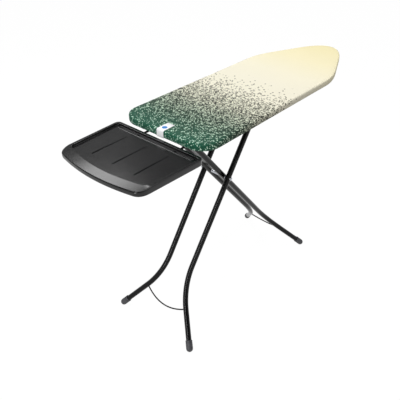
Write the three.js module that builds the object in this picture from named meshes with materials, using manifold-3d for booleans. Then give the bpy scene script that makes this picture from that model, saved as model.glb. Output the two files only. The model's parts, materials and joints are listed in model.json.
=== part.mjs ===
// A full-size folding ironing board with a steam-iron tray, as separate named pieces.
// Millimetres, +Z up. The board points its nose along +X, left is +Y, and the feet stand on z = 0.

import * as THREE from 'three';
import { mergeVertices } from 'three/addons/utils/BufferGeometryUtils.js';
import Module from 'manifold-3d';

const wasm = await Module();
wasm.setup();

// ---- driving dimensions ----

const GAP = 0.3;                    // air between pieces that touch

const BOARD_TOP = 1000;             // ironing surface above the floor
const BOARD_LENGTH = 1269;
const BOARD_HALF_WIDTH = 222.5;
const TAIL_CORNER = 80;             // corner radius at the tail
const SHOULDER_START = 845;         // where the long sides begin to turn inwards
const NOSE_START = 1140;            // where the straight taper ends and the nose begins
const SKIRT_DEPTH = 30;

const CLOTH = 1.5;
const PAD_THICKNESS = 6.4;
const PANEL_THICKNESS = 0.8;
const RIM_DEPTH = 18;
const RIM_THICKNESS = 2.5;

const TUBE_RADIUS = 12.5;
const TUBE_WALL = 1.2;
const LEG_TOP = 956;                // height of the axles at both leg tops
const NOSE_LEG = {                  // the pair whose feet stand under the nose
  topX: 84.3, footX: 879.3, halfGap: 40.2, footHalf: 189.5, splayStart: 0.79, bendRadius: 450,
};
const TAIL_LEG = {                  // the pair whose feet stand under the tray
  topX: 545, footX: -95.7, halfGap: 68, footHalf: 221.2, splayStart: 0.7936, bendRadius: 350,
};
const FOOT_AXIS_HEIGHT = 12;        // height at which footX and footHalf are taken
const FOOT_RADIUS = 15.5;
const FOOT_SOCKET = 36;
const BRACE_RADIUS = 3.2;

const TRAY_RIM_TOP = 968.6;
const TRAY_FLOOR = 960;
const TRAY_BOTTOM = 944;
const TRAY_WALL = 3;
const TRAY_CEILING = 957.4;         // underside of the tray's floor
const TRAY_INNER_X = -8;            // edge next to the board
const TRAY_OUTER_X = -335;          // middle of the bowed outer edge
const TRAY_LIP_TOP = 961;           // the outer edge lies lower than the rim
const ROD_RADIUS = 4.5;
const ROD_HALF_GAP = 97;
const ROD_HEIGHT = 950.5;

const MIDDLE_X = (BOARD_LENGTH + TRAY_OUTER_X) / 2;   // puts the origin under the middle

// ---- shape helpers ----

const vec3 = (x, y, z) => new THREE.Vector3(x, y, z);
const vec2 = (x, y) => new THREE.Vector2(x, y);

function solidOf(geometry) {
  const bare = geometry.index ? geometry.toNonIndexed() : geometry.clone();
  bare.deleteAttribute('normal');
  bare.deleteAttribute('uv');
  const merged = mergeVertices(bare, 1e-4);
  return new wasm.Manifold(new wasm.Mesh({
    numProp: 3,
    vertProperties: new Float32Array(merged.attributes.position.array),
    triVerts: new Uint32Array(merged.index.array),
  }));
}

function geometryOf(solid) {
  const mesh = solid.getMesh();
  const geometry = new THREE.BufferGeometry();
  geometry.setAttribute('position', new THREE.BufferAttribute(mesh.vertProperties, 3));
  geometry.setIndex(new THREE.BufferAttribute(mesh.triVerts, 1));
  return geometry;
}

const cut = (body, ...tools) => geometryOf(tools.reduce((s, t) => s.subtract(solidOf(t)), solidOf(body)));
const join = (body, ...more) => geometryOf(more.reduce((s, t) => s.add(solidOf(t)), solidOf(body)));

function shapeOf(points, holes = []) {
  const shape = new THREE.Shape(points);
  for (const hole of holes) shape.holes.push(new THREE.Path(hole));
  return shape;
}

// Moves every point of a closed counter-clockwise outline inwards.
function insetOutline(points, inset) {
  return points.map((point, i) => {
    const before = points[(i + points.length - 1) % points.length];
    const after = points[(i + 1) % points.length];
    const inFrom = point.clone().sub(before).normalize();
    const outTo = after.clone().sub(point).normalize();
    const along = inFrom.clone().add(outTo).normalize();
    const reach = inset / Math.max(0.5, along.dot(inFrom));
    return vec2(point.x - along.y * reach, point.y + along.x * reach);
  });
}

function circlePoints(x, y, radius, sides = 16) {
  return Array.from({ length: sides }, (_, i) => {
    const turn = (i / sides) * 2 * Math.PI;
    return vec2(x + radius * Math.cos(turn), y + radius * Math.sin(turn));
  });
}

// A flat outline in X and Y, raised from low to high.
function plate(points, low, high, holes) {
  const geometry = new THREE.ExtrudeGeometry(shapeOf(points, holes), { depth: high - low, bevelEnabled: false });
  return geometry.translate(0, 0, low);
}

// An outline in Y and Z, drawn out from x = from to x = to.
function prismAlongX(points, from, to, holes) {
  const geometry = new THREE.ExtrudeGeometry(shapeOf(points, holes), { depth: to - from, bevelEnabled: false });
  const turn = new THREE.Matrix4().makeBasis(vec3(0, 1, 0), vec3(0, 0, 1), vec3(1, 0, 0));
  return geometry.applyMatrix4(turn).translate(from, 0, 0);
}

// An outline in X and Z, drawn out from y = from to y = to.
function prismAlongY(points, from, to, holes) {
  const geometry = new THREE.ExtrudeGeometry(shapeOf(points, holes), { depth: to - from, bevelEnabled: false });
  return geometry.rotateX(Math.PI / 2).translate(0, to, 0);
}

function box(x0, x1, y0, y1, z0, z1) {
  const geometry = new THREE.BoxGeometry(x1 - x0, y1 - y0, z1 - z0);
  return geometry.translate((x0 + x1) / 2, (y0 + y1) / 2, (z0 + z1) / 2);
}

const corners = (x0, x1, y0, y1) => [vec2(x0, y0), vec2(x1, y0), vec2(x1, y1), vec2(x0, y1)];

// A rod or, with a bore, a sleeve along Y at a point in X and Z.
function roundAlongY(x, z, from, to, radius, bore = 0, sides = 20) {
  const holes = bore ? [circlePoints(x, z, bore, sides)] : [];
  return prismAlongY(circlePoints(x, z, radius, sides), from, to, holes);
}

function roundAlongX(y, z, from, to, radius, bore = 0, sides = 16) {
  const holes = bore ? [circlePoints(y, z, bore, sides)] : [];
  return prismAlongX(circlePoints(y, z, radius, sides), from, to, holes);
}

// A path known only at its stations, so that a straight run takes a single step.
class StationPath extends THREE.Curve {
  constructor(stations) {
    super();
    this.stations = stations;
  }

  nearest(t) {
    return this.stations[Math.round(t * (this.stations.length - 1))];
  }

  getPoint(t, target = new THREE.Vector3()) {
    return target.copy(this.nearest(t).point);
  }

  getPointAt(t, target = new THREE.Vector3()) {
    return this.getPoint(t, target);
  }

  getTangentAt(t, target = new THREE.Vector3()) {
    return target.copy(this.nearest(t).tangent);
  }
}

function sweep(stations, radius, bore = 0, sides = 16) {
  const section = shapeOf(circlePoints(0, 0, radius, sides), bore ? [circlePoints(0, 0, bore, sides)] : []);
  return new THREE.ExtrudeGeometry(section, {
    steps: stations.length - 1,
    bevelEnabled: false,
    extrudePath: new StationPath(stations),
  });
}

// ---- pieces and finishes ----

const FINISH = {
  cloth: { color: 0xc8cda8, roughness: 0.9, metalness: 0 },
  tape: { color: 0xf2f2f0, roughness: 0.85, metalness: 0 },
  felt: { color: 0xd9d6cc, roughness: 1, metalness: 0 },
  enamel: { color: 0x0c0c0d, roughness: 0.28, metalness: 0.3 },
  panel: { color: 0x1d1d1f, roughness: 0.5, metalness: 0.4 },
  zinc: { color: 0xb9bbc0, roughness: 0.35, metalness: 0.9 },
  tray: { color: 0x242425, roughness: 0.5, metalness: 0 },
  foot: { color: 0x2d2d2f, roughness: 0.6, metalness: 0 },
  nylon: { color: 0x1a1a1b, roughness: 0.5, metalness: 0 },
};

const board = new THREE.Group();

function add(name, finish, geometry) {
  const mesh = new THREE.Mesh(geometry, new THREE.MeshStandardMaterial(FINISH[finish]));
  mesh.name = name;
  board.add(mesh);
  return mesh;
}

const SIDES = [['left', 1], ['right', -1]];

// ---- board top ----

function boardOutline() {
  const w = BOARD_HALF_WIDTH;
  const tip = BOARD_LENGTH;
  const shape = new THREE.Shape();
  shape.moveTo(0, 0);
  shape.lineTo(0, -(w - TAIL_CORNER));
  shape.absarc(TAIL_CORNER, -(w - TAIL_CORNER), TAIL_CORNER, Math.PI, 1.5 * Math.PI, false);
  shape.lineTo(SHOULDER_START, -w);
  shape.quadraticCurveTo(912, -w, 1000, -183);
  shape.lineTo(NOSE_START, -121.4);
  shape.bezierCurveTo(1215, -88, tip, -48, tip, 0);
  const nearSide = shape.getPoints(8).filter((p, i, all) => i === 0 || p.distanceTo(all[i - 1]) > 0.01);
  const farSide = nearSide.slice(1, -1).reverse().map((p) => vec2(p.x, -p.y));
  return [...nearSide, ...farSide];
}

const OUTLINE = boardOutline();
const SKIRT_BOTTOM = BOARD_TOP - SKIRT_DEPTH;
const PAD_TOP = BOARD_TOP - CLOTH - GAP;
const PANEL_TOP = PAD_TOP - PAD_THICKNESS - GAP;
const PANEL_BOTTOM = PANEL_TOP - PANEL_THICKNESS;
const FLANGE_TOP = PANEL_BOTTOM - GAP;      // everything bolted under the panel starts here
const FLANGE = 1.8;
const LABEL_REACH = 62;
const LABEL_HALF = 18;
const LABEL_TAPE = 0.6;
const LABEL_LOW = BOARD_TOP - 0.1 - LABEL_TAPE;   // it lies in a shallow bed in the cloth

function coverGeometry() {
  const hemReach = 22;                      // how far the hem turns under the board
  const outside = plate(OUTLINE, SKIRT_BOTTOM, BOARD_TOP);
  const inside = plate(insetOutline(OUTLINE, CLOTH), SKIRT_BOTTOM + CLOTH, BOARD_TOP - CLOTH);
  const mouth = plate(insetOutline(OUTLINE, hemReach), SKIRT_BOTTOM - 1, SKIRT_BOTTOM + CLOTH + 1);
  const labelBed = box(-1, LABEL_REACH + GAP, -LABEL_HALF - GAP, LABEL_HALF + GAP, LABEL_LOW - GAP, BOARD_TOP + 1);
  return cut(outside, inside, mouth, labelBed);
}

function panelGeometry() {
  const ventRadius = 14;
  const pitch = 78;
  const rows = 5;
  const edge = insetOutline(OUTLINE, CLOTH + GAP);
  const vents = [];
  for (let x = 70; x < BOARD_LENGTH - 60; x += pitch) {
    for (let row = 0; row < rows; row += 1) {
      const y = (row - (rows - 1) / 2) * pitch;
      const room = x < NOSE_START ? BOARD_HALF_WIDTH - Math.max(0, x - SHOULDER_START) * 0.36 : 100;
      if (Math.abs(y) + 2.2 * ventRadius < room) vents.push(circlePoints(x, y, ventRadius, 6));
    }
  }
  return plate(edge, PANEL_BOTTOM, PANEL_TOP, vents);
}

add('cover', 'cloth', coverGeometry());
add('underlay_pad', 'felt', plate(insetOutline(OUTLINE, CLOTH + GAP), PAD_TOP - PAD_THICKNESS, PAD_TOP));
add('board_panel', 'panel', panelGeometry());

const rimInset = CLOTH + GAP;
add('board_rim', 'enamel', plate(
  insetOutline(OUTLINE, rimInset), FLANGE_TOP - RIM_DEPTH, FLANGE_TOP,
  [insetOutline(OUTLINE, rimInset + RIM_THICKNESS)],
));

const cordInset = 10;
const cordThickness = 3;
const cordLow = SKIRT_BOTTOM + CLOTH + GAP;
add('cover_drawcord', 'tape', plate(
  insetOutline(OUTLINE, cordInset), cordLow, cordLow + cordThickness,
  [insetOutline(OUTLINE, cordInset + cordThickness)],
));

// A loop of white tape sewn over the tail edge.
add('care_label', 'tape', prismAlongY([
  vec2(-GAP - LABEL_TAPE, SKIRT_BOTTOM), vec2(-GAP, SKIRT_BOTTOM), vec2(-GAP, LABEL_LOW),
  vec2(LABEL_REACH, LABEL_LOW), vec2(LABEL_REACH, LABEL_LOW + LABEL_TAPE),
  vec2(-GAP - LABEL_TAPE, LABEL_LOW + LABEL_TAPE),
], -LABEL_HALF, LABEL_HALF));

// ---- legs ----

const RISE = LEG_TOP - FOOT_AXIS_HEIGHT;

// Works out one leg pair: its slant, its splay and the places measured down its straight run.
function legPlan(leg) {
  const length = Math.hypot(leg.footX - leg.topX, RISE);
  const down = vec3((leg.footX - leg.topX) / length, 0, -RISE / length);
  const turnAt = leg.splayStart * length;
  const splay = Math.atan2(leg.footHalf - leg.halfGap, length - turnAt);
  const tangentRun = leg.bendRadius * Math.tan(splay / 2);
  return { ...leg, length, down, turnAt, splay, tangentRun };
}

const nosePlan = legPlan(NOSE_LEG);
const tailPlan = legPlan(TAIL_LEG);

function onLeg(plan, run, y) {
  return vec3(plan.topX, y, LEG_TOP).addScaledVector(plan.down, run);
}

// Half distance between the pair at a run below the bend.
const splayHalf = (plan, run) => plan.halfGap + (run - plan.turnAt) * Math.tan(plan.splay);

function legStations(plan, side, startRun, endRun) {
  const straight = plan.down.clone();
  const stations = [{ point: onLeg(plan, startRun, side * plan.halfGap), tangent: straight }];
  const bendSteps = 6;
  for (let i = 0; i <= bendSteps; i += 1) {
    const turn = (plan.splay * i) / bendSteps;
    const run = plan.turnAt - plan.tangentRun + plan.bendRadius * Math.sin(turn);
    const half = plan.halfGap + plan.bendRadius * (1 - Math.cos(turn));
    const tangent = plan.down.clone().multiplyScalar(Math.cos(turn)).add(vec3(0, side * Math.sin(turn), 0));
    stations.push({ point: onLeg(plan, run, side * half), tangent });
  }
  const { tangent } = stations[stations.length - 1];
  stations.push({ point: onLeg(plan, endRun, side * splayHalf(plan, endRun)), tangent });
  return stations;
}

// The place where the two pairs cross and are pinned together.
const crossShare = (TAIL_LEG.topX - NOSE_LEG.topX)
  / (NOSE_LEG.footX - NOSE_LEG.topX + TAIL_LEG.topX - TAIL_LEG.footX);
const CROSS_X = NOSE_LEG.topX + crossShare * (NOSE_LEG.footX - NOSE_LEG.topX);
const CROSS_Z = LEG_TOP - crossShare * RISE;
const PIN_RADIUS = 4;

function footGeometry(turn) {
  const roundSteps = 4;
  const socket = TUBE_RADIUS + GAP;
  const profile = [vec2(0, 0), vec2(socket, 0), vec2(socket, -FOOT_SOCKET), vec2(FOOT_RADIUS - 1, -FOOT_SOCKET)];
  profile.push(vec2(FOOT_RADIUS, 1 - FOOT_SOCKET));
  for (let i = 0; i <= roundSteps; i += 1) {
    const angle = (i / roundSteps) * (Math.PI / 2);
    profile.push(vec2(FOOT_RADIUS * Math.cos(angle), FOOT_RADIUS * Math.sin(angle)));
  }
  profile[profile.length - 1].x = 0;
  return new THREE.LatheGeometry(profile, 16).applyQuaternion(turn);
}

// The feet of a pair: each is slid along its leg until its lowest point is on the floor.
function addLegPair(plan, prefix, startRun) {
  for (const [sideName, side] of SIDES) {
    const splayed = plan.down.clone().multiplyScalar(Math.cos(plan.splay))
      .add(vec3(0, side * Math.sin(plan.splay), 0));
    const turn = new THREE.Quaternion().setFromUnitVectors(vec3(0, 1, 0), splayed);
    const foot = footGeometry(turn);
    foot.computeBoundingBox();
    const footRun = (LEG_TOP + foot.boundingBox.min.z) / -plan.down.z;
    const place = onLeg(plan, footRun, side * splayHalf(plan, footRun));
    foot.translate(place.x, place.y, place.z);
    const endRun = footRun - GAP;
    const tube = sweep(legStations(plan, side, startRun, endRun), TUBE_RADIUS, TUBE_RADIUS - TUBE_WALL);
    const nearSide = side * plan.halfGap;
    const drill = roundAlongY(CROSS_X, CROSS_Z, nearSide - 20, nearSide + 20, PIN_RADIUS + GAP);
    add(`${prefix}_leg_${sideName}`, 'enamel', cut(tube, drill));
    add(`${prefix}_foot_${sideName}`, 'foot', foot);
  }
}

// A thin rod welded across a pair below its bend, bowed towards the floor.
function braceGeometry(plan, endRun, middleRun) {
  const half = splayHalf(plan, endRun) - TUBE_RADIUS / Math.cos(plan.splay) - BRACE_RADIUS;
  const sag = middleRun - endRun;
  const steps = 12;
  const stations = [];
  for (let i = 0; i <= steps; i += 1) {
    const across = (2 * i) / steps - 1;
    const point = onLeg(plan, endRun + sag * (1 - across * across), across * half);
    const tangent = plan.down.clone().multiplyScalar(-2 * sag * across).add(vec3(0, half, 0)).normalize();
    stations.push({ point, tangent });
  }
  return sweep(stations, BRACE_RADIUS, 0, 10);
}

// Nose pair: turns on an axle under the tail of the board.
const HINGE_TUBE_RADIUS = 10;
const AXLE_RADIUS = 5;
const HINGE_HALF = NOSE_LEG.halfGap + 17.5;
addLegPair(nosePlan, 'nose', HINGE_TUBE_RADIUS + GAP);
add('nose_brace_wire', 'enamel', braceGeometry(nosePlan, 1081, 1116));
add('hinge_tube', 'enamel', roundAlongY(
  NOSE_LEG.topX, LEG_TOP, -HINGE_HALF, HINGE_HALF, HINGE_TUBE_RADIUS, AXLE_RADIUS + GAP,
));

// A pressed plate fills the slot between the nose legs, from the axle down to the crossing.
const webHalf = NOSE_LEG.halfGap - TUBE_RADIUS - GAP;
const webEnd = 327;
const webThickness = 1.5;
const web = new THREE.BoxGeometry(webEnd - 14, 2 * webHalf, webThickness);
web.translate((webEnd + 14) / 2, 0, 0);
web.rotateY(Math.asin(-nosePlan.down.z)).translate(NOSE_LEG.topX, 0, LEG_TOP);
add('nose_leg_web', 'enamel', web);

// Tail pair: its top carries the cross tube that slides in the track.
const SLIDE_TUBE_RADIUS = 9;
const SLIDE_HALF = TAIL_LEG.halfGap + 20;
addLegPair(tailPlan, 'tail', SLIDE_TUBE_RADIUS + GAP);
add('tail_brace_wire', 'enamel', braceGeometry(tailPlan, 997, 1032));
add('slide_tube', 'enamel', roundAlongY(
  TAIL_LEG.topX, LEG_TOP, -SLIDE_HALF, SLIDE_HALF, SLIDE_TUBE_RADIUS, AXLE_RADIUS + GAP,
));

// Crossing: one long pin with a sleeve, washers and end nuts.
const pinHalf = TAIL_LEG.halfGap + 19;
const washerFrom = NOSE_LEG.halfGap + TUBE_RADIUS + GAP;
const washerTo = TAIL_LEG.halfGap - TUBE_RADIUS - GAP;
const nutFrom = TAIL_LEG.halfGap + TUBE_RADIUS + GAP;
add('cross_pin', 'zinc', roundAlongY(CROSS_X, CROSS_Z, -pinHalf, pinHalf, PIN_RADIUS));
add('cross_sleeve', 'zinc', roundAlongY(CROSS_X, CROSS_Z, -webHalf, webHalf, 6.5, PIN_RADIUS + GAP));
for (const [sideName, side] of SIDES) {
  const ring = (from, to, radius, sides) => {
    const [low, high] = side > 0 ? [from, to] : [-to, -from];
    const bore = [circlePoints(CROSS_X, CROSS_Z, PIN_RADIUS + GAP, 20)];
    return prismAlongY(circlePoints(CROSS_X, CROSS_Z, radius, sides), low, high, bore);
  };
  add(`cross_washer_${sideName}`, 'zinc', ring(washerFrom, washerTo, 9.5, 20));
  add(`cross_nut_${sideName}`, 'zinc', ring(nutFrom, nutFrom + 5, 8, 6));
}

// ---- hinge and track under the board ----

const bracketFrom = HINGE_HALF + GAP;
const bracketTo = bracketFrom + 2.5;
add('hinge_axle', 'zinc', roundAlongY(NOSE_LEG.topX, LEG_TOP, -bracketTo - 6, bracketTo + 6, AXLE_RADIUS));

function bracketGeometry(side) {
  const halfBase = 26;
  const lobe = 12;
  const outline = [vec2(NOSE_LEG.topX + halfBase, FLANGE_TOP), vec2(NOSE_LEG.topX - halfBase, FLANGE_TOP)];
  for (let i = 0; i <= 8; i += 1) {
    const turn = Math.PI + (Math.PI * i) / 8;
    outline.push(vec2(NOSE_LEG.topX + lobe * Math.cos(turn), LEG_TOP + lobe * Math.sin(turn)));
  }
  const [low, high] = side > 0 ? [bracketFrom, bracketTo] : [-bracketTo, -bracketFrom];
  const hole = [circlePoints(NOSE_LEG.topX, LEG_TOP, AXLE_RADIUS + GAP, 20)];
  const ear = prismAlongY(outline, low, high, hole);
  const reach = side > 0 ? [bracketFrom, bracketTo + 18] : [-bracketTo - 18, -bracketFrom];
  const foot = box(NOSE_LEG.topX - halfBase, NOSE_LEG.topX + halfBase, ...reach, FLANGE_TOP - FLANGE, FLANGE_TOP);
  return join(ear, foot);
}

const TRACK_START = 505;
const TRACK_END = 885;
const ROLLER_FROM = SLIDE_HALF + 3.3;
const ROLLER_TO = ROLLER_FROM + 10.7;
const ROLLER_RADIUS = 6.5;
const LIP_LOW = 946;                // running faces of the track, above and below the roller
const LIP_HIGH = 966;
const SHEET = 1.5;

function trackGeometry(side) {
  const web0 = ROLLER_TO + GAP;
  const web1 = web0 + SHEET;
  const lip = ROLLER_FROM - GAP;
  const outline = [
    vec2(lip, LIP_LOW - SHEET), vec2(web1, LIP_LOW - SHEET), vec2(web1, FLANGE_TOP - SHEET),
    vec2(web1 + 12, FLANGE_TOP - SHEET), vec2(web1 + 12, FLANGE_TOP), vec2(web0, FLANGE_TOP),
    vec2(web0, LIP_HIGH + SHEET), vec2(lip, LIP_HIGH + SHEET), vec2(lip, LIP_HIGH),
    vec2(web0, LIP_HIGH), vec2(web0, LIP_LOW), vec2(lip, LIP_LOW),
  ];
  const sided = side > 0 ? outline : outline.map((p) => vec2(-p.x, p.y)).reverse();
  return prismAlongX(sided, TRACK_START, TRACK_END);
}

function rollerGeometry(side) {
  const reach = side > 0 ? [ROLLER_FROM, ROLLER_TO] : [-ROLLER_TO, -ROLLER_FROM];
  return roundAlongY(TAIL_LEG.topX, LEG_TOP, ...reach, ROLLER_RADIUS, AXLE_RADIUS + GAP);
}

add('slide_bar', 'zinc', roundAlongY(TAIL_LEG.topX, LEG_TOP, -ROLLER_TO, ROLLER_TO, AXLE_RADIUS));
for (const [sideName, side] of SIDES) {
  const clip = side > 0 ? [bracketTo + GAP, bracketTo + 2.8] : [-bracketTo - 2.8, -bracketTo - GAP];
  add(`hinge_bracket_${sideName}`, 'zinc', bracketGeometry(side));
  add(`axle_clip_${sideName}`, 'zinc', roundAlongY(NOSE_LEG.topX, LEG_TOP, ...clip, 9, AXLE_RADIUS + GAP));
  add(`track_rail_${sideName}`, 'enamel', trackGeometry(side));
  add(`slide_roller_${sideName}`, 'nylon', rollerGeometry(side));
}

// ---- height lever ----

const LEVER_X = 430;
const LEVER_HALF = 9;               // half width of the lever's strip
const LEVER_LOW = 968;
const LEVER_STRIP = 3;
const LEVER_PIVOT_Y = 85;
const LEVER_PIVOT_Z = LEVER_LOW + LEVER_STRIP / 2;
const LEVER_PIN = 3;
const GRIP_FROM = -192;
const GRIP_TO = -135;

function leverGeometry() {
  const x0 = LEVER_X - LEVER_HALF;
  const x1 = LEVER_X + LEVER_HALF;
  const strip = box(x0, x1, GRIP_FROM + 8, LEVER_PIVOT_Y, LEVER_LOW, LEVER_LOW + LEVER_STRIP);
  const eye = prismAlongX(circlePoints(LEVER_PIVOT_Y, LEVER_PIVOT_Z, 7, 16), x0, x1);
  const bore = roundAlongX(LEVER_PIVOT_Y, LEVER_PIVOT_Z, x0 - 1, x1 + 1, LEVER_PIN + GAP);
  return cut(join(strip, eye), bore);
}

function gripGeometry() {
  const halfWide = 17;
  const rounded = 7;
  const middle = LEVER_LOW + LEVER_STRIP / 2;
  const outline = [];
  for (const [cx, start] of [[halfWide - rounded, -0.5], [rounded - halfWide, 0.5]]) {
    for (let i = 0; i <= 6; i += 1) {
      const turn = (start + i / 6) * Math.PI;
      outline.push(vec2(LEVER_X + cx + rounded * Math.cos(turn), middle + rounded * Math.sin(turn)));
    }
  }
  const socket = box(
    LEVER_X - LEVER_HALF - GAP, LEVER_X + LEVER_HALF + GAP, GRIP_FROM + 8 - GAP, GRIP_TO + 1,
    LEVER_LOW - GAP, LEVER_LOW + LEVER_STRIP + GAP,
  );
  return cut(prismAlongY(outline, GRIP_FROM, GRIP_TO), socket);
}

// A strip with seven notches, one for each working height.
function rackGeometry() {
  const low = LEVER_LOW + LEVER_STRIP + GAP;
  const high = low + 11;
  const notches = 7;
  const pitch = 44;
  const notchHalf = 10;
  const outline = [vec2(LEVER_X - LEVER_HALF, low)];
  for (let i = 0; i < notches; i += 1) {
    const x = TAIL_LEG.topX + i * pitch;
    outline.push(
      vec2(x - notchHalf, low), vec2(x - notchHalf + 2, low + 5),
      vec2(x + notchHalf - 2, low + 5), vec2(x + notchHalf, low),
    );
  }
  const end = TAIL_LEG.topX + notches * pitch;
  outline.push(vec2(end, low), vec2(end, high), vec2(LEVER_X - LEVER_HALF, high));
  return prismAlongY(outline, -2, 2);
}

function leverBracketGeometry() {
  const earFrom = LEVER_HALF + GAP;
  const ears = [earFrom, -earFrom - SHEET].map((from) => prismAlongX([
    vec2(LEVER_PIVOT_Y - 14, FLANGE_TOP), vec2(LEVER_PIVOT_Y - 8, LEVER_PIVOT_Z - 6),
    vec2(LEVER_PIVOT_Y + 8, LEVER_PIVOT_Z - 6), vec2(LEVER_PIVOT_Y + 14, FLANGE_TOP),
  ], LEVER_X + from, LEVER_X + from + SHEET, [circlePoints(LEVER_PIVOT_Y, LEVER_PIVOT_Z, LEVER_PIN + GAP)]));
  const plateTop = box(
    LEVER_X - earFrom - SHEET, LEVER_X + earFrom + SHEET, LEVER_PIVOT_Y - 14, LEVER_PIVOT_Y + 14,
    FLANGE_TOP - SHEET, FLANGE_TOP,
  );
  return join(plateTop, ...ears);
}

function springGeometry() {
  const low = LEVER_LOW + LEVER_STRIP + GAP + 0.8;
  const high = FLANGE_TOP - GAP - 0.8;
  const coil = 5;
  const turns = 4;
  const steps = turns * 10;
  const stations = [];
  for (let i = 0; i <= steps; i += 1) {
    const turn = (i / steps) * turns * 2 * Math.PI;
    const point = vec3(
      LEVER_X + coil * Math.cos(turn), 40 + coil * Math.sin(turn), low + ((high - low) * i) / steps,
    );
    const climb = (high - low) / (turns * 2 * Math.PI);
    const tangent = vec3(-coil * Math.sin(turn), coil * Math.cos(turn), climb).normalize();
    stations.push({ point, tangent });
  }
  return sweep(stations, 0.7, 0, 6);
}

add('height_lever', 'zinc', leverGeometry());
add('lever_grip', 'nylon', gripGeometry());
add('lock_rack', 'zinc', rackGeometry());
add('lever_bracket', 'zinc', leverBracketGeometry());
add('lever_pin', 'zinc', roundAlongX(LEVER_PIVOT_Y, LEVER_PIVOT_Z, LEVER_X - 14, LEVER_X + 14, LEVER_PIN));
add('lever_spring', 'zinc', springGeometry());

// ---- steam-iron tray ----

function trayOutline() {
  const shape = new THREE.Shape();
  const innerHalf = 228;
  const bowEnd = -315;
  const bow = 2 * TRAY_OUTER_X - bowEnd;
  shape.moveTo(TRAY_INNER_X, 0);
  shape.lineTo(TRAY_INNER_X, innerHalf - 24);
  shape.quadraticCurveTo(TRAY_INNER_X, innerHalf - 1, TRAY_INNER_X - 24, innerHalf - 1.5);
  shape.lineTo(-266, 216.7);
  shape.quadraticCurveTo(-310, 214.7, bowEnd, 177);
  shape.quadraticCurveTo(bow, 0, bowEnd, -177);
  shape.quadraticCurveTo(-310, -214.7, -266, -216.7);
  shape.lineTo(TRAY_INNER_X - 24, -(innerHalf - 1.5));
  shape.quadraticCurveTo(TRAY_INNER_X, -(innerHalf - 1), TRAY_INNER_X, -(innerHalf - 24));
  return shape.getPoints(8).filter((p, i, all) => i === 0 || p.distanceTo(all[i - 1]) > 0.01);
}

// The recess: parallel to the rim on three sides, and bowed along the ridge of the sloping band.
function recessOutline() {
  const shape = new THREE.Shape();
  shape.moveTo(TRAY_INNER_X - 16, 215.3);
  shape.lineTo(-240, 203.6);
  shape.quadraticCurveTo(-266, 202.3, -272, 182);
  shape.quadraticCurveTo(-320.6, 0, -272, -182);
  shape.quadraticCurveTo(-266, -202.3, -240, -203.6);
  shape.lineTo(TRAY_INNER_X - 16, -215.3);
  return shape.getPoints(8);
}

// What the band leaves standing: a top that falls from the ridge to the outer lip.
function bandRoof() {
  const ridgeX = -284;
  const fall = (TRAY_RIM_TOP - TRAY_LIP_TOP) / (ridgeX - TRAY_OUTER_X);
  const over = 20;
  return prismAlongY([
    vec2(TRAY_OUTER_X - over, TRAY_LIP_TOP - over * fall), vec2(ridgeX, TRAY_RIM_TOP),
    vec2(ridgeX, TRAY_RIM_TOP + over), vec2(TRAY_OUTER_X - over, TRAY_RIM_TOP + over),
  ], -260, 260);
}

function trayGeometry() {
  const outline = trayOutline();
  const bodySolid = plate(outline, TRAY_BOTTOM, TRAY_RIM_TOP);
  const hollow = plate(insetOutline(outline, TRAY_WALL), TRAY_BOTTOM - 1, TRAY_CEILING);
  const recess = plate(recessOutline(), TRAY_FLOOR, TRAY_RIM_TOP + 1);
  const slot = box(TRAY_INNER_X - 24, TRAY_INNER_X - 17, -192, 192, TRAY_CEILING - 1, TRAY_RIM_TOP + 1);
  const grooves = [-111, 0, 111].map((y) => box(-238, -64, y - 1.5, y + 1.5, TRAY_FLOOR - 1, TRAY_FLOOR + 1));
  const rodHoles = [-ROD_HALF_GAP, ROD_HALF_GAP].map(
    (y) => roundAlongX(y, ROD_HEIGHT, TRAY_INNER_X - 10, TRAY_INNER_X + 1, ROD_RADIUS + GAP),
  );
  return cut(bodySolid, hollow, recess, bandRoof(), slot, ...grooves, ...rodHoles);
}

add('steam_tray', 'tray', trayGeometry());

function clipGeometry(y) {
  const half = 12;
  const low = ROD_HEIGHT - ROD_RADIUS - 4;
  const high = TRAY_CEILING - GAP;
  const r = ROD_RADIUS + GAP;
  const outline = [vec2(y - half, high), vec2(y - half, low), vec2(y + half, low), vec2(y + half, high)];
  outline.push(vec2(y + r, high));
  for (let i = 0; i <= 8; i += 1) {
    const turn = -(Math.PI * i) / 8;
    outline.push(vec2(y + r * Math.cos(turn), ROD_HEIGHT + r * Math.sin(turn)));
  }
  outline.push(vec2(y - r, high));
  return prismAlongX(outline, -205, -175);
}

function guideGeometry(y, x) {
  const half = 10;
  const outline = corners(y - half, y + half, ROD_HEIGHT - half, FLANGE_TOP);
  return prismAlongX(outline, x, x + 30, [circlePoints(y, ROD_HEIGHT, ROD_RADIUS + GAP)]);
}

for (const [sideName, side] of SIDES) {
  const y = side * ROD_HALF_GAP;
  add(`tray_rod_${sideName}`, 'enamel', roundAlongX(y, ROD_HEIGHT, -285, 215, ROD_RADIUS));
  add(`rod_collar_${sideName}`, 'zinc', roundAlongX(y, ROD_HEIGHT, 196, 204, 8, ROD_RADIUS + GAP));
  add(`tray_clip_${sideName}`, 'nylon', clipGeometry(y));
  add(`rod_guide_outer_${sideName}`, 'nylon', guideGeometry(y, 48));
  add(`rod_guide_inner_${sideName}`, 'nylon', guideGeometry(y, 160));
}

board.position.x = -MIDDLE_X;

export default board;
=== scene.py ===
"""A folding ironing board with a steam-iron tray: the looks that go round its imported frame."""

import json
import math

import bmesh
import bpy
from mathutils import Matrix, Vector, geometry, noise


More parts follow.
